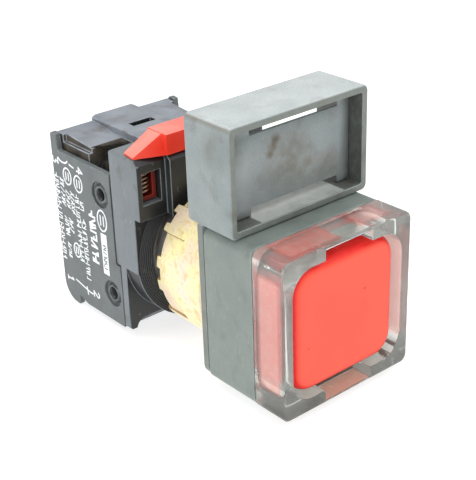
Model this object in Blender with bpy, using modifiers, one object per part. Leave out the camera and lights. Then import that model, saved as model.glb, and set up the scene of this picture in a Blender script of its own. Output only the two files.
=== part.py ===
"""Square-headed industrial push button for a 22 mm panel hole, with its contact block.

The origin is on the button's axis, in the plane where the legend plate meets the panel.
+X is to the right of a person who faces the button, +Y runs back through the panel and
+Z is up. Sizes are in millimetres, and MM turns them into metres.
"""

import math

import bmesh
import bpy
from mathutils import Matrix, Vector

MM = 0.001
FIT = 0.3                # clearance between pieces that touch or slide

# Head, in front of the panel
HEAD = 30.0              # side of the square head
HEAD_EDGE = 1.8          # rounding of the head's long edges
GUARD_FRONT = -21.2
GUARD_REAR = -13.9
HOUSING_FRONT = -13.7
HOUSING_REAR = -1.55
PLATE = 1.4              # thickness of the legend holder's panel plate
OPENING = (25.6, 24.8)   # width and height of the guard's opening
OPENING_CORNER = 4.6
NOTCH = (10.9, 2.0, 4.2)  # width, height and depth of the guard's finger notches
TONGUE = 0.8             # wall of the guard's tongue inside the housing
CAP = (23.8, 23.6)
CAP_CORNER = 4.3
CAP_FRONT = -20.4
CAP_REAR = -12.4
CAP_WALL = 1.6
TRAVEL = 5.0             # stroke of the button
CAVITY_FLOOR = -6.3
FLANGE_SEAT = -4.7

# Legend holder above the head
LEGEND_WIDTH = 31.3
LEGEND_BOTTOM = 15.2
LEGEND_TOP = 34.7
LEGEND_FRONT = -9.9
LEGEND_REAR = 1.6        # the box's rear rim, behind the panel plate
LEGEND_WALL = 1.3
LEGEND_CORNER = 1.2
LEGEND_EDGE = 0.45
LEGEND_POCKET = 3.3      # depth of the pocket that takes the legend
LEGEND_WEB = 1.2         # thickness of the wall behind that pocket
SLOT_LEFT = -8.6
SLOT_RIGHT = 11.5
UPPER_SLOT = (31.0, 32.0)
LOWER_SLOT = (LEGEND_BOTTOM + LEGEND_WALL, 18.1)

# Barrel, nut and seals
BARREL = 10.9            # outer radius of the threaded barrel
BARREL_BORE = 8.6
BARREL_REAR = 20.5
BARREL_STEP = 8.3        # seat of the return spring
STEM = 4.0
NOSE = 3.0               # the thinner end of the stem, which reaches into the contact block
STEM_END = 20.1
NUT = 14.4
NUT_BORE = 11.3
NUT_FRONT = 1.0
NUT_REAR = 14.5
NUT_PANEL = 6.5          # length of the shallow panels at the nut's rear
NUT_NOTCH = 1.0

# Mounting adaptor behind the panel
HALF = 15.0              # half width of the adaptor and of the contact block
ADAPTOR_TOP = 21.1
ADAPTOR_FRONT = 16.9
COLLAR_FRONT = 18.6
SHOULDER_FRONT = 15.4
SHOULDER = 8.6           # half width of the forward shoulder
BASE_FRONT = 22.6
UPPER_JOINT = 25.7       # rear of the adaptor above the step
LOWER_JOINT = 24.4       # rear of the adaptor below the step
STEP = -2.2              # height of that step
FOOT = -15.5
WINDOW = (-13.9, -9.8, 12.4, 18.5)   # left, right, bottom and top of the latch window
WINDOW_REAR = 21.2

# Latch lever on top of the adaptor
LEVER_HALF = 9.0         # half length of the bar between the two ramps
LEVER_TIP = 14.7
LEVER_FRONT = 15.5
LEVER_REAR = 21.0
LEVER_TOP = 25.1
LEG = (18.1, 20.1)       # front and rear of the leg in the adaptor's window
LEG_LEFT = -10.9

# Contact block
BLOCK_REAR = 45.5
BLOCK_TOP = 19.1
COVER = 1.2
COVER_TOP = 16.0
COVER_BOTTOM = -15.7
POST_TOP = 19.4
POST_BOTTOM = -16.9
RIDGE = 5.2              # half width of the raised middle of the block
RIDGE_TOP = 20.1
WEB = 2.4                # half width of the wall between the two contact chambers
TERMINAL_X = 8.6
TERMINALS = {"upper": 13.0, "lower": -11.8}   # heights of the terminal screws
WELL = 3.3               # radius of the screwdriver wells
STRIP_FRONT = 31.7
STRIP = 0.8
RIVETS = {"upper_rivet": (29.6, 10.9), "lower_rivet": (28.0, -9.5)}
BLOCK_SCREWS = {"upper_block_screw": 14.2, "lower_block_screw": -13.1}

COLOURS = {
    "grey_plastic": ((0.27, 0.31, 0.31), 0.45, 0.0),
    "clear_plastic": ((0.85, 0.9, 0.9), 0.08, 0.0),
    "red_plastic": ((0.9, 0.09, 0.05), 0.35, 0.0),
    "black_plastic": ((0.03, 0.03, 0.035), 0.45, 0.0),
    "dark_plastic": ((0.12, 0.13, 0.14), 0.5, 0.0),
    "white_plastic": ((0.75, 0.75, 0.7), 0.45, 0.0),
    "rubber": ((0.02, 0.02, 0.02), 0.8, 0.0),
    "yellow_zinc": ((0.8, 0.68, 0.35), 0.35, 1.0),
    "steel": ((0.55, 0.55, 0.55), 0.3, 1.0),
    "copper": ((0.72, 0.35, 0.2), 0.35, 1.0),
    "brass": ((0.75, 0.58, 0.25), 0.35, 1.0),
}


# Building blocks

def clear_scene():
    for item in list(bpy.data.objects):
        bpy.data.objects.remove(item)


def make_collections():
    parts = bpy.data.collections.new("push_button")
    cutters = bpy.data.collections.new("cutters")
    cutters.hide_render = True
    for collection in (parts, cutters):
        bpy.context.scene.collection.children.link(collection)
    return parts, cutters


def material(name):
    found = bpy.data.materials.get(name)
    if found:
        return found
    colour, roughness, metallic = COLOURS[name]
    made = bpy.data.materials.new(name)
    made.use_nodes = True
    shader = made.node_tree.nodes["Principled BSDF"]
    shader.inputs["Base Color"].default_value = (*colour, 1)
    shader.inputs["Roughness"].default_value = roughness
    shader.inputs["Metallic"].default_value = metallic
    if name == "clear_plastic":
        shader.inputs["Transmission Weight"].default_value = 1
    return made


def add_object(name, mesh, material_name=None):
    """Puts a mesh in the scene: a part if it has a material, otherwise a cutter or a piece to join."""
    item = bpy.data.objects.new(name, mesh)
    if material_name:
        mesh.materials.clear()
        mesh.materials.append(material(material_name))
        PARTS.objects.link(item)
    else:
        item.hide_render = True
        item.display_type = "WIRE"
        CUTTERS.objects.link(item)
    return item


def mesh_from(work, name):
    bmesh.ops.recalc_face_normals(work, faces=work.faces)
    mesh = bpy.data.meshes.new(name)
    work.to_mesh(mesh)
    work.free()
    return mesh


def box(name, x, y, z, material_name=None, edge=0.0, segments=2):
    """A box between pairs of limits, with its edges rounded by a Bevel modifier."""
    low = Vector((x[0], y[0], z[0])) * MM
    high = Vector((x[1], y[1], z[1])) * MM
    size = high - low
    place = Matrix.Translation((low + high) / 2) @ Matrix.Diagonal((*size, 1))
    work = bmesh.new()
    bmesh.ops.create_cube(work, size=1, matrix=place)
    item = add_object(name, mesh_from(work, name), material_name)
    if edge:
        round_edges(item, edge, segments)
    return item


def rod(name, radius, start, end, centre=(0, 0), axis="Y", material_name=None, sides=32):
    """A cylinder along an axis. centre is its place in the plane across that axis."""
    work = bmesh.new()
    middle = (start + end) / 2
    if axis == "Y":
        place = Matrix.Translation(Vector((centre[0], middle, centre[1])) * MM)
        turn = Matrix.Rotation(math.pi / 2, 4, "X")
    elif axis == "X":
        place = Matrix.Translation(Vector((middle, centre[0], centre[1])) * MM)
        turn = Matrix.Rotation(math.pi / 2, 4, "Y")
    else:
        place = Matrix.Translation(Vector((centre[0], centre[1], middle)) * MM)
        turn = Matrix.Identity(4)
    bmesh.ops.create_cone(work, cap_ends=True, segments=sides, radius1=radius * MM,
                          radius2=radius * MM, depth=(end - start) * MM, matrix=place @ turn)
    item = add_object(name, mesh_from(work, name), material_name)
    item.data.shade_smooth()
    item.data.set_sharp_from_angle(angle=math.radians(35))
    return item


# How a flat outline's own X, Y and Z lie in the object, by the axis it is extruded along
OUTLINE_TURN = {
    "X": Matrix(((0, 0, 1, 0), (1, 0, 0, 0), (0, 1, 0, 0), (0, 0, 0, 1))),
    "Y": Matrix(((1, 0, 0, 0), (0, 0, -1, 0), (0, 1, 0, 0), (0, 0, 0, 1))),
    "Z": Matrix.Identity(4),
}


def prism(name, points, start, end, axis, material_name=None, holes=()):
    """A flat outline extruded along an axis, made as a filled 2D curve and turned into a mesh."""
    curve = bpy.data.curves.new(name, "CURVE")
    curve.dimensions = "2D"
    curve.fill_mode = "BOTH"
    curve.extrude = (end - start) / 2 * MM
    for ring in (points, *holes):
        spline = curve.splines.new("POLY")
        spline.points.add(len(ring) - 1)
        for point, (across, up) in zip(spline.points, ring):
            point.co = (across * MM, up * MM, 0, 1)
        spline.use_cyclic_u = True
    flat = bpy.data.objects.new(name + "_outline", curve)
    bpy.context.scene.collection.objects.link(flat)
    mesh = bpy.data.meshes.new_from_object(
        flat.evaluated_get(bpy.context.evaluated_depsgraph_get()))
    bpy.data.objects.remove(flat)
    work = bmesh.new()
    work.from_mesh(mesh)
    bpy.data.meshes.remove(mesh)
    bmesh.ops.remove_doubles(work, verts=work.verts, dist=1e-6)
    offset = Vector((0, 0, 0))
    offset["XYZ".index(axis)] = (start + end) / 2 * MM
    work.transform(Matrix.Translation(offset) @ OUTLINE_TURN[axis])
    return add_object(name, mesh_from(work, name), material_name)


def turned(name, profile, material_name=None, steps=48):
    """A profile of (radius, y) pairs turned about the button's axis. The outer side comes first."""
    work = bmesh.new()
    ring = [work.verts.new((radius * MM, 0, along * MM)) for radius, along in profile]
    for first, second in zip(ring, ring[1:] + ring[:1]):
        work.edges.new((first, second))
    mesh = bpy.data.meshes.new(name)
    work.to_mesh(mesh)
    work.free()
    item = add_object(name, mesh, material_name)
    screw = item.modifiers.new("turn", "SCREW")
    screw.steps = steps
    screw.render_steps = steps
    screw.merge_threshold = 1e-5
    screw.use_merge_vertices = True
    item.rotation_euler = (-math.pi / 2, 0, 0)
    return item


def coil(name, radius, wire, start, end, turns, centre, axis, material_name, per_turn=12):
    """A helical spring whose wire runs from start to end, as a swept POLY spline."""
    curve = bpy.data.curves.new(name, "CURVE")
    curve.dimensions = "3D"
    curve.bevel_depth = wire * MM
    curve.bevel_resolution = 2
    curve.use_fill_caps = True
    spline = curve.splines.new("POLY")
    count = int(turns * per_turn) + 1
    spline.points.add(count - 1)
    for index, point in enumerate(spline.points):
        part = index / (count - 1)
        angle = 2 * math.pi * turns * part
        along = start + wire + (end - start - 2 * wire) * part
        across = centre[0] + radius * math.cos(angle)
        up = centre[1] + radius * math.sin(angle)
        place = (across, along, up) if axis == "Y" else (across, up, along)
        point.co = (*(Vector(place) * MM), 1)
    curve.materials.append(material(material_name))
    item = bpy.data.objects.new(name, curve)
    PARTS.objects.link(item)
    return item


def round_edges(item, width, segments=2, angle=40):
    bevel = item.modifiers.new("round", "BEVEL")
    bevel.width = width * MM
    bevel.segments = segments
    bevel.limit_method = "ANGLE"
    bevel.angle_limit = math.radians(angle)
    bevel.use_clamp_overlap = True


def combine(item, other, operation):
    boolean = item.modifiers.new(other.name, "BOOLEAN")
    boolean.operation = operation
    boolean.object = other
    boolean.solver = "EXACT"


def cut(item, *others):
    for other in others:
        combine(item, other, "DIFFERENCE")


def join(item, *others):
    for other in others:
        combine(item, other, "UNION")


def rounded_rectangle(width, height, corner, centre=(0, 0), steps=5):
    """Outline points of a rectangle with round corners, anticlockwise."""
    points = []
    for quarter, (side, up) in enumerate(((1, 1), (-1, 1), (-1, -1), (1, -1))):
        middle_x = centre[0] + side * (width / 2 - corner)
        middle_y = centre[1] + up * (height / 2 - corner)
        for step in range(steps + 1):
            angle = math.pi / 2 * (quarter + step / steps)
            points.append((middle_x + corner * math.cos(angle),
                           middle_y + corner * math.sin(angle)))
    return points


def arc(centre, radius, start, end, steps):
    """Points on an arc between two angles in degrees."""
    points = []
    for step in range(steps + 1):
        angle = math.radians(start + (end - start) * step / steps)
        points.append((centre[0] + radius * math.cos(angle), centre[1] + radius * math.sin(angle)))
    return points


# Head

def head_housing():
    outline = rounded_rectangle(HEAD, HEAD, HEAD_EDGE)
    item = prism("head_housing", outline, HOUSING_FRONT, HOUSING_REAR, "Y", "grey_plastic")
    mouth = (OPENING[0] + 2 * TONGUE + 2 * FIT, OPENING[1] + 2 * TONGUE + 2 * FIT)
    tongue_end = HOUSING_FRONT + 1.9
    cut(item,
        prism("housing_mouth", rounded_rectangle(*mouth, OPENING_CORNER + TONGUE),
              HOUSING_FRONT - 1, tongue_end, "Y"),
        prism("housing_cavity", rounded_rectangle(*OPENING, OPENING_CORNER),
              tongue_end - 0.5, CAVITY_FLOOR, "Y"),
        rod("housing_hole", BARREL_BORE + 0.6, CAVITY_FLOOR - 1, HOUSING_REAR + 1),
        rod("housing_recess", BARREL + 2.0, FLANGE_SEAT, HOUSING_REAR + 1, sides=48))
    return item


def clear_guard():
    outline = rounded_rectangle(HEAD, HEAD, 1.5, steps=3)
    item = prism("clear_guard", outline, GUARD_FRONT, GUARD_REAR, "Y", "clear_plastic")
    round_edges(item, 0.5, 2, 60)
    tongue = (OPENING[0] + 2 * TONGUE, OPENING[1] + 2 * TONGUE)
    join(item, prism("guard_tongue", rounded_rectangle(*tongue, OPENING_CORNER + TONGUE),
                     GUARD_REAR - 1, GUARD_REAR + 1.6, "Y"))
    notch_top = OPENING[1] / 2 + NOTCH[1]
    cut(item,
        prism("guard_opening", rounded_rectangle(*OPENING, OPENING_CORNER),
              GUARD_FRONT - 1, GUARD_REAR + 3, "Y"),
        box("guard_notches", (-NOTCH[0] / 2, NOTCH[0] / 2),
            (GUARD_FRONT - 1, GUARD_FRONT + NOTCH[2]), (-notch_top, notch_top)))
    return item


def button_cap():
    item = prism("button_cap", rounded_rectangle(*CAP, CAP_CORNER), CAP_FRONT, CAP_REAR, "Y",
                 "red_plastic")
    round_edges(item, 1.2, 3, 50)
    inside = (CAP[0] - 2 * CAP_WALL, CAP[1] - 2 * CAP_WALL)
    cut(item, prism("cap_inside", rounded_rectangle(*inside, CAP_CORNER - CAP_WALL),
                    CAP_FRONT + CAP_WALL, CAP_REAR + 1, "Y"))
    return item


def button_carrier():
    """The square plate that holds the cap, the spring's flange and the stem through the barrel."""
    side = CAP[0] - 2 * CAP_WALL - 2 * FIT
    plate_front = CAP_FRONT + CAP_WALL + FIT
    item = prism("button_carrier", rounded_rectangle(side, side, 2.4, steps=3),
                 plate_front, plate_front + 2, "Y", "dark_plastic")
    flange_front = CAP_REAR - 0.9
    shoulder = STEM_END - 0.8
    profile = [(NOSE, STEM_END), (NOSE, shoulder), (STEM, shoulder), (STEM, 18.7), (3.4, 18.7),
               (3.4, 17.7), (STEM, 17.7), (STEM, flange_front + 1.4),
               (side / 2 - 0.2, flange_front + 1.4), (side / 2 - 0.2, flange_front),
               (STEM, flange_front), (STEM, plate_front + 1), (0, plate_front + 1), (0, STEM_END)]
    join(item, turned("carrier_stem", profile, steps=40))
    return item


def stem_clip():
    profile = [(6.6, 18.6), (6.6, 17.8), (3.7, 17.8), (3.7, 18.6)]
    item = turned("stem_clip", profile, "steel", 36)
    cut(item, box("clip_mouth", (-2.6, 2.6), (17, 19.5), (-8, 0)))
    return item


def threaded_barrel():
    flange = BARREL + 1.6
    profile = [
        (BARREL, BARREL_REAR), (BARREL, 19.9), (10.1, 19.9), (10.1, 17.9), (BARREL, 17.9),
        (BARREL, HOUSING_REAR - FIT), (flange, HOUSING_REAR - FIT), (flange, FLANGE_SEAT + FIT),
        (BARREL_BORE, FLANGE_SEAT + FIT), (BARREL_BORE, BARREL_STEP), (STEM + FIT, BARREL_STEP),
        (STEM + FIT, 12.4), (6.3, 12.4), (6.3, 14.6), (STEM + FIT, 14.6), (STEM + FIT, 17.5),
        (7.2, 17.5), (7.2, BARREL_REAR)]
    return turned("threaded_barrel", profile, "steel", 40)


def stem_seal():
    ring = [(5.2 + 0.95 * math.cos(a), 13.5 - 0.95 * math.sin(a))
            for a in (2 * math.pi * step / 10 for step in range(10))]
    return turned("stem_seal", ring, "rubber", 32)


def panel_seal():
    inner = BARREL + FIT
    profile = [(13.8, 0.8), (13.8, 0.15), (inner, 0.15), (inner, 0.8)]
    return turned("panel_seal", profile, "rubber", 48)


def fixing_nut():
    """A deep ring nut with four shallow panels and castellations at its rear rim."""
    profile = [(NUT, NUT_REAR), (NUT, NUT_FRONT), (NUT_BORE, NUT_FRONT), (NUT_BORE, NUT_REAR)]
    item = turned("fixing_nut", profile, "yellow_zinc", 72)
    for quarter in range(4):
        middle = 90 * quarter
        ring = arc((0, 0), NUT + 1, middle - 34, middle + 34, 8)
        ring += arc((0, 0), NUT - 0.35, middle + 34, middle - 34, 8)
        panel = prism(f"nut_panel_{quarter}", ring, NUT_REAR - NUT_PANEL, NUT_REAR + 1, "Y")
        notches = []
        for first, last in ((-5.5, 5.5), (14, 34.5), (40, 50), (55.5, 76)):
            notch = arc((0, 0), NUT + 2, middle + first, middle + last, 3)
            notch += arc((0, 0), NUT_BORE - 1, middle + last, middle + first, 3)
            notches.append(prism(f"nut_notch_{quarter}_{first}", notch, NUT_REAR - NUT_NOTCH,
                                 NUT_REAR + 1, "Y"))
        cut(item, panel, *notches)
    return item


def button_spring():
    return coil("button_spring", 6.4, 0.5, CAP_REAR + 0.9, BARREL_STEP - FIT, 7, (0, 0), "Y",
                "steel")


# Legend holder

def legend_holder():
    """A shallow box, open to the front and the rear of its web, on a plate round the barrel."""
    inside = LEGEND_WIDTH / 2 - LEGEND_WALL
    web_front = LEGEND_FRONT + LEGEND_POCKET
    outline = rounded_rectangle(LEGEND_WIDTH, LEGEND_TOP - LEGEND_BOTTOM, LEGEND_CORNER,
                                (0, (LEGEND_TOP + LEGEND_BOTTOM) / 2), 3)
    item = prism("legend_holder", outline, LEGEND_FRONT, LEGEND_REAR, "Y", "grey_plastic")
    round_edges(item, LEGEND_EDGE, 2, 60)
    height = LEGEND_BOTTOM + LEGEND_WALL + 0.5 + HEAD / 2
    plate = prism("holder_plate",
                  rounded_rectangle(HEAD, height, 2.4, (0, height / 2 - HEAD / 2)),
                  -PLATE, 0, "Y")
    join(item, plate)
    upright = (LEGEND_BOTTOM + LEGEND_WALL, LEGEND_TOP - LEGEND_WALL)
    cut(item,
        box("legend_pocket", (-inside, inside), (LEGEND_FRONT - 1, web_front), upright),
        box("legend_back", (-inside, inside), (web_front + LEGEND_WEB, LEGEND_REAR + 1), upright),
        box("upper_slot", (SLOT_LEFT, SLOT_RIGHT), (web_front - 1, web_front + 3), UPPER_SLOT),
        box("lower_slot", (SLOT_LEFT, SLOT_RIGHT), (web_front - 1, web_front + 3), LOWER_SLOT),
        rod("plate_hole", BARREL + FIT, -3, 1, sides=56))
    return item


# Mounting adaptor

def adaptor_body():
    """The upper block, the round collar and the base plate, joined and not yet cut."""
    item = box("mounting_adaptor", (-HALF, HALF), (ADAPTOR_FRONT, UPPER_JOINT),
               (STEP, ADAPTOR_TOP), "black_plastic")
    round_edges(item, 0.4, 2)
    base = prism("adaptor_base", base_outline(), BASE_FRONT, LOWER_JOINT, "Y")
    join(item,
         rod("adaptor_collar", HALF - 0.01, COLLAR_FRONT, LOWER_JOINT, sides=72),
         box("adaptor_shoulder", (-SHOULDER, SHOULDER), (SHOULDER_FRONT, ADAPTOR_FRONT + 1),
             (9, ADAPTOR_TOP - 0.01)),
         base)
    return item


def base_outline():
    """The base plate's outline: square feet with a shallow arch between them."""
    arch = FOOT + 1.7
    foot = 1.6
    points = [(HALF, 2), (-HALF, 2), (-HALF, FOOT + 0.5), (-HALF + 0.5, FOOT),
              (-HALF + foot, FOOT)]
    points += arc((-HALF + foot + 2.0, arch - 2.0), 2.0, 160, 90, 4)
    points += arc((HALF - foot - 2.0, arch - 2.0), 2.0, 90, 20, 4)
    points += [(HALF - foot, FOOT), (HALF - 0.5, FOOT), (HALF, FOOT + 0.5)]
    return points


def mounting_adaptor():
    item = adaptor_body()
    left, right, bottom, top = WINDOW
    bore_end = LOWER_JOINT - 1.2
    lower_front = prism("collar_relief",
                        [(ADAPTOR_FRONT - 1, 9.4), (COLLAR_FRONT, 9.4), (COLLAR_FRONT, STEP - 1),
                         (ADAPTOR_FRONT - 1, STEP - 1)], -HALF - 1, HALF + 1, "X")
    top_edge = prism("adaptor_top_edge",
                     [(ADAPTOR_FRONT - 1, 19.2), (ADAPTOR_FRONT + 1.2, ADAPTOR_TOP + 0.1),
                      (ADAPTOR_FRONT - 1, ADAPTOR_TOP + 1)], -HALF - 1, -SHOULDER, "X")
    top_edge_right = prism("adaptor_top_edge_right",
                           [(ADAPTOR_FRONT - 1, 19.2), (ADAPTOR_FRONT + 1.2, ADAPTOR_TOP + 0.1),
                            (ADAPTOR_FRONT - 1, ADAPTOR_TOP + 1)], SHOULDER, HALF + 1, "X")
    shoulder_edge = prism("shoulder_top_edge",
                          [(SHOULDER_FRONT - 1, 19.2), (SHOULDER_FRONT + 1.2, ADAPTOR_TOP + 0.1),
                           (SHOULDER_FRONT - 1, ADAPTOR_TOP + 1)],
                          -SHOULDER - 0.5, SHOULDER + 0.5, "X")
    cut(item, lower_front, top_edge, top_edge_right, shoulder_edge,
        rod("adaptor_bore", NUT_BORE, 10, bore_end, sides=56),
        rod("adaptor_hole", 7.2, bore_end - 1, UPPER_JOINT + 1),
        box("latch_window", (left, right), (10, WINDOW_REAR), (bottom, top)),
        box("latch_leg_slot", (-11.2, right), (17.8, 20.4), (top - 1, ADAPTOR_TOP + 1)),
        box("latch_tongue_slot", (-2.8, 2.8), (17.9, 19.9), (9, ADAPTOR_TOP + 1)))
    for name, height in BLOCK_SCREWS.items():
        cut(item, rod(name + "_thread", 1.25 + FIT, 20.4, UPPER_JOINT + 1, (0, height), sides=20))
    return item


def latch_lever():
    """The red latch: a bar with ramped ends, a leg under the spring and a locking tongue."""
    rest = ADAPTOR_TOP + 0.15
    item = box("latch_lever", (-LEVER_HALF, LEVER_HALF), (LEVER_FRONT, LEVER_REAR),
               (rest, LEVER_TOP), "red_plastic")
    root = LEVER_HALF - 1.5
    knee = LEVER_HALF - 0.2
    tip_front = (LEVER_TIP, LEVER_FRONT + 2.6)
    tip_rear = (LEVER_TIP - 0.4, LEVER_REAR + 0.4)
    for side, label in ((-1, "left"), (1, "right")):
        corners = [(knee - 0.3, LEVER_FRONT, rest), (knee - 0.3, LEVER_REAR + 0.1, rest),
                   (root, LEVER_FRONT + 0.1, rest), (root, LEVER_REAR, rest)]
        corners += [(across, along, up) for across, along in (tip_front, tip_rear)
                    for up in (rest, rest + 0.3)]
        corners += [(across, along, LEVER_TOP) for across in (root, knee)
                    for along in (LEVER_FRONT + 1.45, LEVER_REAR - 0.3)]
        work = bmesh.new()
        for across, along, up in corners:
            work.verts.new(Vector((side * across, along, up)) * MM)
        bmesh.ops.convex_hull(work, input=work.verts)
        bmesh.ops.delete(work, geom=[v for v in work.verts if not v.link_faces],
                         context="VERTS")
        join(item, add_object("latch_ramp_" + label, mesh_from(work, "latch_ramp_" + label)))
    leg_right = WINDOW[1] - FIT
    foot = WINDOW[2] + 0.35
    join(item,
         box("latch_leg", (LEG_LEFT, leg_right), LEG, (foot, rest + 0.5)),
         box("latch_foot", (WINDOW[0] + FIT, leg_right), LEG, (foot, foot + 0.8)),
         box("latch_tongue", (-2.5, 2.5), (18.2, 19.6), (10.4, rest + 0.5)))
    return item


def latch_spring():
    foot = WINDOW[2] + 0.35 + 0.8
    return coil("latch_spring", 1.0, 0.24, foot + 0.2, WINDOW[3] - 0.2, 5, (-12.35, 19.1), "Z",
                "copper", 10)


# Contact block

def cover_outline():
    """The side cover's outline in Y and Z, with its posts at the rear corners."""
    upper = UPPER_JOINT + FIT
    lower = LOWER_JOINT + FIT
    post = BLOCK_REAR - 2.4
    points = [(upper, COVER_TOP), (upper, STEP - FIT), (lower, STEP - FIT), (lower, COVER_BOTTOM)]
    points += [(37.4, COVER_BOTTOM), (40.3, -14.7), (40.5, POST_BOTTOM)]
    points += arc((BLOCK_REAR - 4.0, POST_BOTTOM + 4.0), 4.0, -90, 0, 5)
    points += arc((BLOCK_REAR - 0.6, POST_TOP - 0.6), 0.6, 0, 90, 2)
    points += [(post + 0.4, POST_TOP - 0.1), (post, COVER_TOP)]
    return points


def side_cover(name, side):
    inner = side * (HALF - COVER)
    outer = side * HALF
    item = prism(name, cover_outline(), min(inner, outer), max(inner, outer), "X", "dark_plastic")
    for rivet, (along, up) in RIVETS.items():
        recess = side * (HALF - 0.75)
        cut(item,
            rod(f"{name}_{rivet}_recess", 2.7, min(recess, 2 * outer), max(recess, 2 * outer),
                (along, up), "X", sides=24),
            rod(f"{name}_{rivet}_hole", 1.5, min(0, 2 * outer), max(0, 2 * outer), (along, up),
                "X", sides=20))
    return item


def contact_housing():
    """The block's body: two contact chambers open to the sides, wire entries and screw wells."""
    half = HALF - COVER - FIT
    upper = UPPER_JOINT + FIT
    lower = LOWER_JOINT + FIT
    outline = [(upper, 17.9), (upper, STEP - FIT), (lower, STEP - FIT), (lower, COVER_BOTTOM)]
    outline += [(BLOCK_REAR - 1, COVER_BOTTOM), (BLOCK_REAR, COVER_BOTTOM + 1)]
    outline += [(BLOCK_REAR, BLOCK_TOP - 0.4), (BLOCK_REAR - 0.4, BLOCK_TOP), (35, 18.3)]
    item = prism("contact_housing", outline, -half, half, "X", "dark_plastic")
    ridge = [(-RIDGE, 15), (-RIDGE, RIDGE_TOP - 0.4), (-RIDGE + 0.8, RIDGE_TOP),
             (RIDGE - 0.8, RIDGE_TOP), (RIDGE, RIDGE_TOP - 0.4), (RIDGE, 15)]
    join(item, prism("block_ridge", ridge, upper + 0.01, BLOCK_REAR - 0.01, "Y"))
    chamber_front = upper + 0.8
    for side, label in ((-1, "left"), (1, "right")):
        across = sorted((side * WEB, side * (half + 1)))
        entry = sorted((side * 6.4, side * (half + 1)))
        cut(item,
            box(f"chamber_{label}", across, (28.8, 43.6), (-10.2, 10.2)),
            box(f"upper_entry_{label}", entry, (chamber_front, 34.4), (9, 30)),
            box(f"lower_entry_{label}", entry, (chamber_front, 34.4), (-30, -9)))
        for level, up in TERMINALS.items():
            cut(item, rod(f"well_{label}_{level}", WELL, 33, BLOCK_REAR + 1,
                          (side * TERMINAL_X, up), sides=24))
    cut(item,
        box("block_sides_top_left", (-half - 1, -half + 0.8), (upper - 1, BLOCK_REAR - 2.4),
            (COVER_TOP + 1.4, 30)),
        box("block_sides_top_right", (half - 0.8, half + 1), (upper - 1, BLOCK_REAR - 2.4),
            (COVER_TOP + 1.4, 30)),
        box("plunger_window", (-WEB - 1, WEB + 1), (28.8, 43.6), (-3.6, 3.6)),
        rod("plunger_hole", 3.5, lower - 1, 30),
        box("ridge_slot", (-2.7, 2.7), (34.6, 36.5), (RIDGE_TOP - 2, RIDGE_TOP + 1)))
    for name, up in BLOCK_SCREWS.items():
        cut(item,
            rod(name + "_head_recess", 2.2, BLOCK_REAR - 1.9, BLOCK_REAR + 1, (0, up), sides=24),
            rod(name + "_hole", 1.25 + FIT, lower - 1, BLOCK_REAR + 1, (0, up), sides=20))
    for name, (along, up) in RIVETS.items():
        cut(item, rod(name + "_bore", 1.5, -half - 1, half + 1, (along, up), "X", sides=20))
    return item


def rivet(name, along, up):
    """A hollow eyelet through the block, with a flange at each cover."""
    item = rod(name, 1.2, -HALF + 0.1, HALF - 0.1, (along, up), "X", "steel", 20)
    for side, label in ((-1, "left"), (1, "right")):
        low, high = sorted((side * (HALF - 0.6), side * (HALF + 0.05)))
        join(item, rod(f"{name}_{label}", 2.1, low, high, (along, up), "X", sides=24))
    cut(item, rod(name + "_bore_through", 0.8, -HALF - 1, HALF + 1, (along, up), "X", sides=16))
    return item


def contact_plunger():
    """The plunger that the button's stem pushes, with an arm that carries both bridges."""
    front = STEM_END + FIT
    item = rod("contact_plunger", 3.1, front, 33, material_name="white_plastic")
    arm = box("plunger_arm", (-11.0, 11.0), (31.4, 37.4), (-1.9, 1.9))
    join(item, arm)
    cut(item,
        rod("plunger_spring_well", 2.4, 33.4, 38, sides=24),
        box("no_window", (-10.4, -5.6), (32.2, 36.6), (-4, 4)),
        box("nc_window", (5.6, 10.4), (32.2, 36.6), (-4, 4)))
    return item


def plunger_spring():
    return coil("plunger_spring", 1.7, 0.3, 33.6, 43.4, 5, (0, 0), "Y", "steel", 10)


def bridge(name, side, front):
    """A moving contact bar with a round tip at each end, facing its fixed contacts."""
    across = sorted((side * 6.2, side * 9.8))
    item = box(name, across, (front, front + 0.6), (-7.4, 7.4), "brass")
    tip_y = (front + 0.3, front + 0.85) if side < 0 else (front - 0.25, front + 0.3)
    for up in (-6.2, 6.2):
        join(item, rod(f"{name}_tip_{up:.0f}", 1.2, *tip_y, (side * 8.0, up), sides=16))
    return item


def bridge_spring(name, side, start, end):
    return coil(name, 1.1, 0.2, start, end, 2.5, (side * 8.0, 0), "Y", "steel", 10)


def contact_strip(name, side, height, contact_y):
    """A fixed contact strip: its inner end is the contact, its outer end lies under a screw."""
    across = sorted((side * 6.9, side * 10.3))
    up = math.copysign(1, height)
    inner, bend, outer = (4.6, 8.4, abs(height) + 2.8)
    heights = sorted((up * bend, up * outer))
    item = box(name, across, (STRIP_FRONT, STRIP_FRONT + STRIP), heights, "brass")
    if contact_y > STRIP_FRONT:
        link = sorted((up * bend, up * (bend + STRIP)))
        join(item,
             box(name + "_link", across, (STRIP_FRONT, contact_y + STRIP), link),
             box(name + "_finger", across, (contact_y, contact_y + STRIP),
                 sorted((up * inner, up * (bend + STRIP)))))
    else:
        join(item, box(name + "_finger", across, (STRIP_FRONT, STRIP_FRONT + STRIP),
                       sorted((up * inner, up * (bend + 0.5)))))
    cut(item, rod(name + "_thread", 1.7, 30, 34, (side * TERMINAL_X, height), sides=16))
    return item


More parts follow.
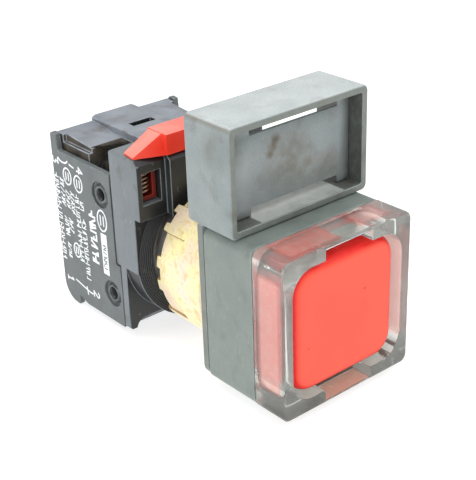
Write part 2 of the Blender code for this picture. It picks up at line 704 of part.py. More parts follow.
def terminal_screw(name, side, height):
    centre = (side * TERMINAL_X, height)
    item = rod(name, 1.4, STRIP_FRONT - 0.2, 35, centre, material_name="steel", sides=20)
    head_front = STRIP_FRONT + STRIP + 1.6
    join(item, rod(name + "_head", 2.5, head_front, head_front + 2.2, centre, sides=24))
    cut(item,
        box(name + "_slot", (centre[0] - 4, centre[0] + 4), (head_front + 1.2, head_front + 4),
            (centre[1] - 0.4, centre[1] + 0.4)),
        box(name + "_cross", (centre[0] - 0.4, centre[0] + 0.4),
            (head_front + 1.2, head_front + 4), (centre[1] - 1.8, centre[1] + 1.8)))
    return item


def clamp_plate(name, side, height):
    centre = (side * TERMINAL_X, height)
    front = STRIP_FRONT + STRIP + 0.3
    item = box(name, (centre[0] - 2.1, centre[0] + 2.1), (front, front + 1.0),
               (centre[1] - 2.4, centre[1] + 2.4), "steel")
    cut(item, rod(name + "_hole", 1.7, 30, 36, centre, sides=16))
    return item


def block_screw(name, up):
    item = rod(name, 1.25, 20.8, BLOCK_REAR - 1, (0, up), material_name="steel", sides=20)
    head = BLOCK_REAR - 1.6
    join(item, rod(name + "_head", 1.95, head, BLOCK_REAR - 0.2, (0, up), sides=24))
    cut(item, box(name + "_slot", (-3, 3), (BLOCK_REAR - 1.1, BLOCK_REAR + 1),
                  (up - 0.35, up + 0.35)))
    return item


def contact_block():
    contact_housing()
    side_cover("left_cover", -1)
    side_cover("right_cover", 1)
    for name, (along, up) in RIVETS.items():
        rivet(name, along, up)
    for name, up in BLOCK_SCREWS.items():
        block_screw(name, up)
    contact_plunger()
    plunger_spring()
    open_front = 35.6
    closed_front = STRIP_FRONT + STRIP + 0.6
    bridge("no_bridge", -1, open_front)
    bridge("nc_bridge", 1, closed_front)
    bridge_spring("no_bridge_spring", -1, 32.5, open_front - 0.3)
    bridge_spring("nc_bridge_spring", 1, closed_front + 0.9, 36.3)
    open_contact = open_front + 0.85 + TRAVEL + 0.2
    for side, kind, contact_y in ((-1, "no", open_contact), (1, "nc", STRIP_FRONT)):
        for level, height in TERMINALS.items():
            contact_strip(f"{kind}_strip_{level}", side, height, contact_y)
            terminal_screw(f"{kind}_screw_{level}", side, height)
            clamp_plate(f"{kind}_clamp_{level}", side, height)


clear_scene()
PARTS, CUTTERS = make_collections()
head_housing()
clear_guard()
button_cap()
button_carrier()
button_spring()
stem_clip()
threaded_barrel()
stem_seal()
panel_seal()
fixing_nut()
legend_holder()
mounting_adaptor()
latch_lever()
latch_spring()
contact_block()
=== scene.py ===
import math
import bmesh
import bpy
import numpy as np
from mathutils import Matrix, Vector


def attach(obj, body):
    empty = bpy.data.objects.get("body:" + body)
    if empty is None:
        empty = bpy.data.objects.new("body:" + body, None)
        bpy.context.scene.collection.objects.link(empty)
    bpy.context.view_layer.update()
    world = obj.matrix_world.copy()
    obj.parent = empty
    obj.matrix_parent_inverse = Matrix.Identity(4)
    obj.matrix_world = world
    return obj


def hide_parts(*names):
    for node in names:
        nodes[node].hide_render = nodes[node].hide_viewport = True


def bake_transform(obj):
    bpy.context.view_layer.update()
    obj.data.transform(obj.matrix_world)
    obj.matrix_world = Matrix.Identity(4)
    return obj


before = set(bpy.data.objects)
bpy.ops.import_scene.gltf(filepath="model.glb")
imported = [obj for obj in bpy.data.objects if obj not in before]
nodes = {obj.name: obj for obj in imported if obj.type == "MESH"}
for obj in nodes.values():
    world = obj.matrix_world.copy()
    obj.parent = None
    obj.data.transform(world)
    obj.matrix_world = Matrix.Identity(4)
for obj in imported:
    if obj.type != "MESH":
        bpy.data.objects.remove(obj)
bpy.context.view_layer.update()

mm = 0.001
rng = np.random.default_rng(11)
smoothAngle = math.radians(38)
bevelAngle, tubeAngle = 50, 55  # degrees past which an edge is rounded, on moulded pieces and on tubes


# Materials: every pattern is noise in object coordinates, so it stays with the piece
def noiseOf(tree, where, scale, detail=4, stretch=None):
    # fractal noise from 0 to 1 at the coordinates times the stretch and the scale
    source = where
    if stretch:
        mapping = tree.nodes.new("ShaderNodeMapping")
        mapping.inputs["Scale"].default_value = stretch
        tree.links.new(where, mapping.inputs["Vector"])
        source = mapping.outputs["Vector"]
    noise = tree.nodes.new("ShaderNodeTexNoise")
    noise.inputs["Scale"].default_value = scale
    noise.inputs["Detail"].default_value = detail
    tree.links.new(source, noise.inputs["Vector"])
    return noise.outputs["Fac"]


def rangeOf(tree, value, low, high, toLow, toHigh):
    # a straight line from (low, toLow) to (high, toHigh), level beyond both
    node = tree.nodes.new("ShaderNodeMapRange")
    node.inputs["From Min"].default_value = low
    node.inputs["From Max"].default_value = high
    node.inputs["To Min"].default_value = toLow
    node.inputs["To Max"].default_value = toHigh
    tree.links.new(value, node.inputs["Value"])
    return node.outputs["Result"]


def mixOf(tree, factor, first, second):
    # the first colour where the factor is 0, the second where it is 1
    node = tree.nodes.new("ShaderNodeMix")
    node.data_type = "RGBA"
    tree.links.new(factor, node.inputs["Factor"])
    for socket, value in ((node.inputs[6], first), (node.inputs[7], second)):
        if isinstance(value, tuple):
            socket.default_value = (*value, 1)
        else:
            tree.links.new(value, socket)
    return node.outputs[2]


def productOf(tree, first, second):
    # first times second
    node = tree.nodes.new("ShaderNodeMath")
    node.operation = "MULTIPLY"
    tree.links.new(first, node.inputs[0])
    tree.links.new(second, node.inputs[1])
    return node.outputs[0]


def spotOf(tree, where, centre, radius, core=0.25):
    # 1 within the core, falling to 0 at the radius
    node = tree.nodes.new("ShaderNodeVectorMath")
    node.operation = "DISTANCE"
    node.inputs[1].default_value = Vector(centre) * mm
    tree.links.new(where, node.inputs[0])
    return rangeOf(tree, node.outputs["Value"], radius * mm, radius * mm * core, 0.0, 1.0)


def zoneOf(tree, where, low, high, soft):
    # 1 inside a box of object coordinates, falling to 0 across its soft border
    split = tree.nodes.new("ShaderNodeSeparateXYZ")
    tree.links.new(where, split.inputs[0])
    inside = None
    for axis in range(3):
        value = split.outputs[axis]
        rise = rangeOf(tree, value, (low[axis] - soft) * mm, (low[axis] + soft) * mm, 0.0, 1.0)
        fall = rangeOf(tree, value, (high[axis] - soft) * mm, (high[axis] + soft) * mm, 1.0, 0.0)
        both = productOf(tree, rise, fall)
        inside = both if inside is None else productOf(tree, inside, both)
    return inside


# what a look has unless it says otherwise; each range is where its noise starts and ends to show
plainLook = {
    "patch": 150, "patchRange": (0.35, 0.65), "roughSpread": 0.08, "roughRange": (0.3, 0.7),
    "metallic": 0.0, "ior": 1.5, "bump": 0.25, "depth": 0.00003, "grain": 2500,
    "spots": (), "spotScale": 420, "spotRange": (0.35, 0.6), "spotLeast": 0.25,
    "zones": (), "zoneScale": 700, "zoneRange": (0.3, 0.55), "zoneLeast": 0.8,
    "speckle": 0, "speckleScale": 3200, "speckleRange": (0.52, 0.66), "speckleTone": (0.1, 0.1, 0.08),
    "grime": 0, "grimeScale": 260, "grimeRange": (0.55, 0.75), "grimeTone": (0.08, 0.065, 0.045),
    "scratch": 0, "scratchScale": 900, "scratchRange": (0.66, 0.7), "stretch": (1, 6, 0.5),
    "scratchTone": (0.6, 0.62, 0.62),
    "clear": 0, "haze": 0, "hazeScale": 120, "hazeRange": (0.4, 0.65), "milky": (),
    "glow": 0, "glowRadius": (0.6, 0.25, 0.2), "glowScale": 0.0015,
}


def makeMaterial(name, changes):
    # base colour drifts between two tones, then spots, speckles, zones, grime and scratches lie over it;
    # some zones are painted light and shade
    look = {**plainLook, **changes}
    material = bpy.data.materials.new(name)
    material.use_nodes = True
    tree = material.node_tree
    shader = tree.nodes["Principled BSDF"]
    where = tree.nodes.new("ShaderNodeTexCoord").outputs["Object"]
    patch = noiseOf(tree, where, look["patch"])
    colour = mixOf(tree, rangeOf(tree, patch, *look["patchRange"], 0.0, 1.0), look["colour"],
                   look["second"])
    for centre, radius, tone, strength in look["spots"]:
        blotch = rangeOf(tree, noiseOf(tree, where, look["spotScale"], 6), *look["spotRange"],
                         look["spotLeast"], strength)
        colour = mixOf(tree, productOf(tree, spotOf(tree, where, centre, radius), blotch), colour, tone)
    if look["speckle"]:
        mask = rangeOf(tree, noiseOf(tree, where, look["speckleScale"], 2), *look["speckleRange"], 0.0,
                       look["speckle"])
        colour = mixOf(tree, mask, colour, look["speckleTone"])
    for low, high, soft, tone, strength in look["zones"]:
        blotch = rangeOf(tree, noiseOf(tree, where, look["zoneScale"], 5), *look["zoneRange"],
                         strength * look["zoneLeast"], strength)
        colour = mixOf(tree, productOf(tree, zoneOf(tree, where, low, high, soft), blotch), colour, tone)
    if look["grime"]:
        mask = rangeOf(tree, noiseOf(tree, where, look["grimeScale"], 8), *look["grimeRange"], 0.0,
                       look["grime"])
        colour = mixOf(tree, mask, colour, look["grimeTone"])
    if look["scratch"]:
        mask = rangeOf(tree, noiseOf(tree, where, look["scratchScale"], 3, look["stretch"]),
                       *look["scratchRange"], 0.0, look["scratch"])
        colour = mixOf(tree, mask, colour, look["scratchTone"])
    tree.links.new(colour, shader.inputs["Base Color"])
    tree.links.new(rangeOf(tree, patch, *look["roughRange"], look["roughness"] - look["roughSpread"],
                           look["roughness"] + look["roughSpread"]), shader.inputs["Roughness"])
    shader.inputs["Metallic"].default_value = look["metallic"]
    shader.inputs["IOR"].default_value = look["ior"]
    if look["clear"]:
        # clouded a little everywhere, and more inside the milky zones
        clear = rangeOf(tree, noiseOf(tree, where, look["hazeScale"], 2), *look["hazeRange"],
                        look["clear"], look["clear"] - look["haze"])
        for low, high, soft, share in look["milky"]:
            cloud = rangeOf(tree, zoneOf(tree, where, low, high, soft), 0.0, 1.0, 1.0, 1.0 - share)
            clear = productOf(tree, clear, cloud)
        tree.links.new(clear, shader.inputs["Transmission Weight"])
    if look["glow"]:
        shader.inputs["Subsurface Weight"].default_value = look["glow"]
        shader.inputs["Subsurface Radius"].default_value = look["glowRadius"]
        shader.inputs["Subsurface Scale"].default_value = look["glowScale"]
    bump = tree.nodes.new("ShaderNodeBump")
    bump.inputs["Strength"].default_value = look["bump"]
    bump.inputs["Distance"].default_value = look["depth"]
    tree.links.new(noiseOf(tree, where, look["grain"], 3), bump.inputs["Height"])
    tree.links.new(bump.outputs["Normal"], shader.inputs["Normal"])
    return material


# Colours are linear and lengths in mm. A spot is centre, radius, tone and strength. A zone is its low
# and high corners, the width of its soft border, tone and strength. A milky zone ends with the share
# of its clearness that is lost
looks = {
    "grey_plastic": {"colour": (0.19, 0.228, 0.212), "second": (0.235, 0.272, 0.25), "roughness": 0.42,
                     "grime": 0.3, "scratch": 0.25, "speckle": 0.12, "speckleTone": (0.1, 0.11, 0.1),
                     "zones": (((-15.2, -1.5, -15.2), (15.2, 0.1, 17.2), 0.15, (0.1, 0.1, 0.08), 0.5),)},
    "legend_grey": {"colour": (0.25, 0.295, 0.3), "second": (0.31, 0.345, 0.345), "roughness": 0.45,
                    "grime": 0.35, "scratch": 0.14, "stretch": (5, 5, 0.6),
                    "speckle": 0.2, "speckleTone": (0.12, 0.125, 0.1),
                    "spots": (((0.0, -6.6, 24.0), 7.5, (0.13, 0.115, 0.075), 0.6),
                              ((-2.9, -6.6, 28.9), 1.3, (0.09, 0.06, 0.03), 0.9),
                              ((-3.5, -6.6, 27.7), 1.2, (0.10, 0.07, 0.035), 0.9),
                              ((-4.2, -6.6, 26.5), 1.2, (0.11, 0.08, 0.04), 0.8),
                              ((4.5, -6.6, 23.0), 1.6, (0.16, 0.12, 0.07), 0.5),
                              ((9.5, -6.6, 20.5), 5.0, (0.13, 0.11, 0.08), 0.6),
                              ((-13.5, -6.6, 30.0), 5.0, (0.14, 0.14, 0.1), 0.6)),
                    # painted shade and painted light on the pocket floor: dark all across, lighter where
                    # light through the lower slot falls on it
                    "zones": (((-14.6, -9.6, 16.2), (14.6, 1.3, 16.8), 0.1, (0.07, 0.07, 0.055), 0.8),
                              ((-8.8, -9.6, 16.2), (10.4, 1.3, 16.8), 0.15, (0.5, 0.53, 0.5), 0.95),
                              # painted shade: the pocket's right inner wall made dark
                              ((14.2, -9.7, 16.6), (14.5, -6.4, 33.6), 0.05, (0.05, 0.05, 0.04), 0.85),
                              # painted shade: the front face of the lip made darker
                              ((-16.0, -10.1, 15.0), (16.0, -9.85, 35.0), 0.04, (0.15, 0.165, 0.14), 0.85),
                              ((-16.0, -10.5, 34.0), (-15.1, 2.0, 35.0), 0.25, (0.2, 0.18, 0.14), 0.6),
                              # painted shade: the plate's left side made darker
                              ((-15.2, -1.5, -15.2), (-14.8, 0.1, 15.0), 0.1, (0.19, 0.21, 0.19), 1.0))},
    "clear_plastic": {"colour": (0.78, 0.84, 0.79), "second": (0.92, 0.94, 0.91), "roughness": 0.08,
                      "roughSpread": 0.05, "clear": 0.9, "ior": 1.46, "bump": 0.05, "scratch": 0.6,
                      "scratchTone": (1.0, 1.0, 1.0), "scratchScale": 700, "stretch": (6, 0.6, 6),
                      "haze": 0.1,
                      # the side, top and bottom panels are clouded more, so that the painted red
                      # reflection tints below show on them
                      "milky": (((-16.5, -20.2, -9.5), (-14.3, -15.2, 11.2), 0.6, 0.45),
                                ((14.3, -20.2, -9.5), (16.5, -15.2, 11.2), 0.6, 0.45),
                                ((-12.0, -20.0, 14.3), (-1.0, -14.6, 16.5), 0.6, 0.3),
                                ((5.0, -19.0, 14.3), (11.0, -15.0, 16.5), 0.6, 0.3),
                                ((-5.4, -21.0, -14.5), (5.4, -17.4, -14.3), 0.2, 0.5)),
                      # painted shade: the guard darker and greyer towards the bottom
                      "zones": (((-16, -22, -16), (16, -12, -12.0), 1.2, (0.43, 0.46, 0.41), 0.95),
                                # painted reflection: the red cap's colour tinted pink into the guard's
                                # side panels
                                ((-16.0, -20.4, -10.2), (-14.6, -14.6, 11.6), 0.3,
                                 (1.0, 0.52, 0.46), 1.0),
                                ((14.6, -20.4, -10.2), (16.0, -14.6, 11.6), 0.3,
                                 (1.0, 0.52, 0.46), 1.0),
                                # painted reflection: red streaks of the cap on the guard's top
                                ((-12.5, -20.6, 14.5), (-1.0, -14.2, 16.0), 0.4,
                                 (0.86, 0.31, 0.25), 0.85),
                                ((4.0, -19.6, 14.5), (11.5, -14.6, 16.0), 0.4,
                                 (0.95, 0.42, 0.36), 0.75),
                                # painted reflection: the cap's red tinted orange into the floor of the
                                # bottom notch
                                ((-5.5, -21.1, -14.5), (5.5, -17.2, -14.3), 0.1,
                                 (0.85, 0.4, 0.28), 0.95))},
    # painted sheen: the front face gets a lighter coral than the deep red that the zone below gives the
    # rounded edge and skirt
    "red_plastic": {"colour": (0.98, 0.075, 0.034), "second": (1.0, 0.088, 0.042), "roughness": 0.42,
                    "grime": 0.1, "glow": 0.05, "ior": 1.5,
                    "zones": (((-13, -20.18, -13), (13, -12, 13), 0.2, (0.86, 0.004, 0.001), 1.0),),
                    "spots": (((4.6, -20.4, 3.4), 0.35, (0.3, 0.02, 0.01), 1.0),
                              ((-8.6, -20.4, -3.2), 0.3, (0.3, 0.02, 0.01), 1.0))},
    "latch_red": {"colour": (0.84, 0.035, 0.014), "second": (0.9, 0.06, 0.03), "roughness": 0.4,
                  "grime": 0.1},
    # painted reflection: this grey, lighter than the black plastic itself, stands in for bright
    # surroundings reflected on the adaptor's sides and top
    "black_plastic": {"colour": (0.15, 0.175, 0.19), "second": (0.19, 0.215, 0.23), "roughness": 0.45,
                      "grime": 0.5, "scratch": 0.3},
    "dark_plastic": {"colour": (0.19, 0.21, 0.24), "second": (0.27, 0.295, 0.33), "roughness": 0.45,
                     "grime": 0.55, "scratch": 0.3},
    "cover_plastic": {"colour": (0.105, 0.125, 0.13), "second": (0.155, 0.17, 0.175), "roughness": 0.45,
                      "grime": 0.35, "scratch": 0.2},
    "white_plastic": {"colour": (0.7, 0.7, 0.65), "second": (0.78, 0.77, 0.72), "roughness": 0.45},
    "rubber": {"colour": (0.02, 0.02, 0.02), "second": (0.035, 0.033, 0.03), "roughness": 0.8},
    "yellow_zinc": {"colour": (1.0, 0.93, 0.44), "second": (1.0, 0.8, 0.64), "roughness": 0.38,
                    "metallic": 0.25, "grime": 0.85, "grimeTone": (0.8, 0.52, 0.16), "grimeScale": 520,
                    "patch": 220, "speckle": 0.3, "speckleTone": (0.7, 0.45, 0.25),
                    "speckleScale": 1500, "scratch": 0.7,
                    "scratchTone": (1.0, 0.98, 0.94), "stretch": (1, 8, 1), "scratchScale": 500},
    "barrel_metal": {"colour": (0.45, 0.45, 0.44), "second": (0.55, 0.54, 0.52), "roughness": 0.4,
                     "metallic": 0.9},
    "steel": {"colour": (0.30, 0.32, 0.33), "second": (0.4, 0.42, 0.43), "roughness": 0.38,
              "metallic": 0.8, "grime": 0.4},
    "screw_steel": {"colour": (0.5, 0.5, 0.49), "second": (0.62, 0.62, 0.6), "roughness": 0.35,
                    "metallic": 0.95, "grime": 0.4},
    "spring_steel": {"colour": (0.48, 0.48, 0.48), "second": (0.6, 0.6, 0.6), "roughness": 0.3,
                     "metallic": 1.0},
    "copper": {"colour": (0.2, 0.11, 0.075), "second": (0.36, 0.22, 0.16), "roughness": 0.35,
               "metallic": 1.0},
    "brass": {"colour": (0.7, 0.52, 0.22), "second": (0.78, 0.6, 0.3), "roughness": 0.35,
              "metallic": 1.0},
    "white_print": {"colour": (0.9, 0.94, 0.96), "second": (1.0, 1.0, 1.0), "roughness": 0.5,
                    "grime": 0.1, "grimeTone": (0.5, 0.55, 0.58)},
}
looks.update({  # looks for chosen faces of a piece; several of them give painted light and painted shade
    # painted light: a lighter grey for the legend holder's upward faces near its top, as if lit from
    # above, with a dust-coloured grime over it
    "legend_top_light": dict(looks["legend_grey"], colour=(0.43, 0.47, 0.47), second=(0.52, 0.56, 0.56),
                        grimeTone=(0.25, 0.24, 0.2)),
    # painted light: a lighter red for the lever's upward faces, as if lit from above
    "latch_top_light": dict(looks["latch_red"], colour=(1.0, 0.17, 0.13), second=(1.0, 0.28, 0.22)),
    # painted shade: a near-black red for the lever's leg down in the window
    "latch_shade": {"colour": (0.1, 0.006, 0.003), "second": (0.2, 0.012, 0.006), "roughness": 0.5},
    "rivet_dark": {"colour": (0.075, 0.085, 0.09), "second": (0.15, 0.165, 0.17), "roughness": 0.32,
                   "metallic": 0.5, "patch": 700},
    "nut_seam": {"colour": (0.42, 0.27, 0.12), "second": (0.6, 0.42, 0.2), "roughness": 0.5,
                 "metallic": 0.3},
    # painted shade: a near-black look for the adaptor's front faces, the collar ring, the block's top slot
    # and the rivet bores
    "black_shade": {"colour": (0.016, 0.018, 0.018), "second": (0.03, 0.032, 0.034), "roughness": 0.4,
                    "scratch": 0.1},
    # painted shade and dirt: a dark brown grey for the block's faces between the covers, below its top
    "grime_and_shade": {"colour": (0.035, 0.029, 0.022), "second": (0.1, 0.085, 0.062), "roughness": 0.6,
                   "patch": 300, "grime": 0.6, "grimeTone": (0.02, 0.018, 0.014)},
})
materials = {name: makeMaterial("mat_" + name, look) for name, look in looks.items()}

# how much lighter or darker each plastic is on its rounded edges
edgeLift = {"grey_plastic": 1.1, "legend_grey": 1.12, "black_plastic": 0.8, "dark_plastic": 1.05,
            "cover_plastic": 1.15, "latch_red": 1.1}
edgePatch = 500


def edgeToned(name, lift):
    # the same plastic with both tones multiplied by the lift, the second by a quarter more
    colour, second = (tuple(min(1.0, channel * more) for channel in looks[name][key])
                      for key, more in (("colour", lift), ("second", lift * 1.25)))
    return makeMaterial("edge_" + name, dict(looks[name], colour=colour, second=second, patch=edgePatch))


edgeMaterials = {name: edgeToned(name, lift) for name, lift in edgeLift.items()}
print("materials made")


# Building blocks
def gridFaces(rows, columns, wrapRows=True, wrapColumns=True):
    # each face joins a point to the next in its row and to both in the next row
    row = np.arange(rows if wrapRows else rows - 1)[:, None]
    column = np.arange(columns if wrapColumns else columns - 1)[None, :]
    nextRow = (row + 1) % rows
    nextColumn = (column + 1) % columns
    return np.stack([row * columns + column, row * columns + nextColumn,
                     nextRow * columns + nextColumn, nextRow * columns + column], -1).reshape(-1, 4)


def paintFaces(mesh, look, chosen):
    # gives the faces picked by chosen(normals, centres in mm) a look of their own
    count = len(mesh.polygons)
    normals, centres = np.empty(count * 3, np.float32), np.empty(count * 3, np.float32)
    mesh.polygons.foreach_get("normal", normals)
    mesh.polygons.foreach_get("center", centres)
    index = np.empty(count, np.int32)
    mesh.polygons.foreach_get("material_index", index)
    mesh.materials.append(materials[look])
    index[chosen(normals.reshape(-1, 3), centres.reshape(-1, 3) / mm)] = len(mesh.materials) - 1
    mesh.polygons.foreach_set("material_index", index)


def makePiece(name, points, faces, slotName, body=None, replaced=(), edge=0.0, angle=bevelAngle):
    # points in mm, merged where they meet, with every face turned outwards
    mesh = bpy.data.meshes.new(name)
    mesh.from_pydata((np.asarray(points).reshape(-1, 3) * mm).tolist(), [], faces.tolist())
    work = bmesh.new()
    work.from_mesh(mesh)
    bmesh.ops.remove_doubles(work, verts=work.verts, dist=1e-7)
    bmesh.ops.recalc_face_normals(work, faces=work.faces)
    work.to_mesh(mesh)
    work.free()
    return finishPiece(name, mesh, slotName, body, replaced, edge, angle)


def finishPiece(name, mesh, slotName, body, replaced, edge, angle, segments=3, clamp=False):
    # shading, rounded edges, and the body, node and slot it belongs to
    look = "white_print" if slotName == "print" else slotName
    mesh.materials.clear()
    mesh.materials.append(materials[look])
    mesh.shade_smooth()
    mesh.set_sharp_from_angle(angle=smoothAngle)
    item = bpy.data.objects.new(name, mesh)
    bpy.context.scene.collection.objects.link(item)
    if edge:
        bevel = item.modifiers.new("edge", "BEVEL")
        bevel.width = edge * mm
        bevel.segments = segments
        bevel.limit_method = "ANGLE"
        bevel.angle_limit = math.radians(angle)
        bevel.use_clamp_overlap = clamp
        bevel.harden_normals = True
        if look in edgeMaterials:
            mesh.materials.append(edgeMaterials[look])
            bevel.material = 1
    if body:
        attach(item, body)
    if replaced:
        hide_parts(*replaced)
    return item


def softened(node, name, slotName, body, edge, clamp):
    # the CAD mesh with its flat faces made whole and its sharp edges rounded
    mesh = nodes[node].data.copy()
    mesh.name = name
    work = bmesh.new()
    work.from_mesh(mesh)
    bmesh.ops.remove_doubles(work, verts=work.verts, dist=2e-6)
    bmesh.ops.dissolve_limit(work, angle_limit=math.radians(1.0), verts=work.verts[:],
                             edges=work.edges[:])
    work.to_mesh(mesh)
    work.free()
    for layer in ("custom_normal", "sharp_face", "sharp_edge"):
        if layer in mesh.attributes:
            mesh.attributes.remove(mesh.attributes[layer])
    mesh.polygons.foreach_set("material_index", np.zeros(len(mesh.polygons), np.int32))
    return finishPiece(name, mesh, slotName, body, (node,), edge, bevelAngle, 2, clamp)


def roundedRing(halfX, halfZ, corner, perQuarter=14, breaks=(), lift=0.0):
    # four quarter arcs about inset corners; breaks adds points on the top and bottom straights
    step = np.linspace(0, 1, perQuarter + 1)
    pieces = []
    for quarter, (side, up) in enumerate(((1, 1), (-1, 1), (-1, -1), (1, -1))):
        turn = math.pi / 2 * (quarter + step)
        pieces.append(np.stack([side * (halfX - corner) + corner * np.cos(turn),
                                up * (halfZ - corner) + corner * np.sin(turn)], -1))
        if breaks and quarter in (0, 2):
            pieces.append(np.array([(side * x, up * (halfZ + lift * raised)) for x, raised in breaks]))
    return np.concatenate(pieces)


def loft(rows, **ring):
    # each row is (half width, half height, corner, y, lift); the surface runs ring by ring
    grid = []
    for halfX, halfZ, corner, along, lift in rows:
        flat = roundedRing(halfX, halfZ, corner, lift=lift, **ring)
        grid.append(np.stack([flat[:, 0], np.full(len(flat), along), flat[:, 1]], -1))
    return np.stack(grid)


def fillet(radius, steps):
    # (inset, setback) pairs along a quarter round, from the side to the face
    turn = np.linspace(0, math.pi / 2, steps)
    return list(zip(radius * (1 - np.cos(turn)), radius * (1 - np.sin(turn))))


def turned(rows, centre, axis, columns=64):
    # rows of (radius, along) swung about an axis: radius times cos and sin, plus the place along it
    turn = np.linspace(0, 2 * math.pi, columns, endpoint=False)
    radius = np.array([row[0] for row in rows])[:, None]
    along = np.array([row[1] for row in rows])[:, None] + 0 * turn
    across = radius * np.cos(turn)
    up = radius * np.sin(turn)
    if axis == "X":
        return np.stack([along, centre[0] + across, centre[1] + up], -1)
    return np.stack([centre[0] + across, along, centre[1] + up], -1)


# Head
clearGuard = {"half": 15.0, "corner": 1.5, "round": 0.5, "front": -21.2, "rear": -13.9,
              "opening": (12.8, 12.4, 4.6), "notchHalf": 5.45, "notchLift": 2.0, "notchRear": -17.0,
              "tongue": 0.8, "tongueRear": -12.3, "edge": 0.16}


def makeGuard(g):
    # a tube of rounded squares whose profile steps out for the finger notches
    lift = g["notchLift"]
    wide, high, corner = g["opening"]
    rows = [(g["half"], g["half"], g["corner"], g["rear"], 0)]
    rows += [(g["half"] - inset, g["half"] - inset, g["corner"] - inset * 0.6, g["front"] + back, 0)
             for inset, back in fillet(g["round"], 6)]
    rows += [(wide, high, corner, g["front"], lift), (wide, high, corner, g["notchRear"], lift),
             (wide, high, corner, g["notchRear"], 0), (wide, high, corner, g["tongueRear"], 0),
             (wide + g["tongue"], high + g["tongue"], corner + g["tongue"], g["tongueRear"], 0),
             (wide + g["tongue"], high + g["tongue"], corner + g["tongue"], g["rear"], 0)]
    half = g["notchHalf"]
    grid = loft(rows, breaks=((half, 0), (half, 1), (-half, 1), (-half, 0)))
    return makePiece("clearGuard", grid, gridFaces(*grid.shape[:2]), "clear_plastic", "fixed",
                     ("clear_guard",), g["edge"], tubeAngle)


makeGuard(clearGuard)

buttonCap = {"halfX": 11.9, "halfZ": 11.8, "corner": 4.3, "front": -20.4, "rear": -12.4,
             "fillet": 1.7, "wall": 1.6, "dish": 0.06, "faceRings": (0, 0.25, 0.5, 0.75, 0.92, 1)}


def makeCap(c):
    # rings from the middle of the face out over a quarter round and down the skirt, then back inside
    face = (c["halfX"] - c["fillet"], c["halfZ"] - c["fillet"], c["corner"] - c["fillet"])
    rows = [(face[0] * part, face[1] * part, face[2] * part,
             c["front"] + c["dish"] * (1 - part ** 2), 0) for part in c["faceRings"]]
    rows += [(c["halfX"] - inset, c["halfZ"] - inset, c["corner"] - inset, c["front"] + back, 0)
             for inset, back in fillet(c["fillet"], 8)[::-1][1:]]
    inner = (c["halfX"] - c["wall"], c["halfZ"] - c["wall"], c["corner"] - c["wall"])
    rows += [(c["halfX"], c["halfZ"], c["corner"], c["rear"], 0), (*inner, c["rear"], 0),
             (*inner, c["front"] + c["wall"], 0), (0, 0, 0, c["front"] + c["wall"], 0)]
    grid = loft(rows)
    return makePiece("buttonCap", grid, gridFaces(*grid.shape[:2], wrapRows=False), "red_plastic",
                     "button", ("button_cap",))


makeCap(buttonCap)

headHousing = {"half": 15.0, "corner": 1.8, "front": -13.7, "rear": -1.55, "edge": 0.14,
               "mouth": (13.9, 13.5, 5.6), "mouthFloor": -11.8, "pocket": (12.8, 12.4, 4.6),
               "pocketFloor": -6.3, "hole": 9.2, "recess": 12.9, "recessFloor": -4.7}


def makeHousing(h):
    # a square tube: outside, front land, stepped mouth, floor, round hole and the recess behind it
    outside = (h["half"], h["half"], h["corner"])
    steps = ((outside, h["rear"], h["front"]), (h["mouth"], h["front"], h["mouthFloor"]),
             (h["pocket"], h["mouthFloor"], h["pocketFloor"]),
             ((h["hole"],) * 3, h["pocketFloor"], h["recessFloor"]),
             ((h["recess"],) * 3, h["recessFloor"], h["rear"]))
    rows = [(*outline, along, 0) for outline, *ends in steps for along in ends]
    grid = loft(rows)
    return makePiece("headHousing", grid, gridFaces(*grid.shape[:2]), "grey_plastic", "fixed",
                     ("head_housing",), h["edge"], tubeAngle)


makeHousing(headHousing)
print("head made")

# Nut
fixingNut = {"outer": 14.4, "bore": 11.3, "front": 1.0, "rear": 14.5, "chamfer": 0.45,
             "panel": 0.35, "panelStart": 8.0, "panelHalf": 34.0, "notch": 1.0,
             "notches": ((-5.5, 5.5), (14, 34.5), (40, 50), (55.5, 76)), "pitch": 1.5, "thread": 0.2,
             "panelRamp": 0.15, "rearBreak": 0.35, "rearMouth": 0.5, "frontMouth": 0.4,
             "threadEnds": (1.2, 0.3), "threadOut": 0.05, "fadeRows": 4, "seamReach": 12.5}


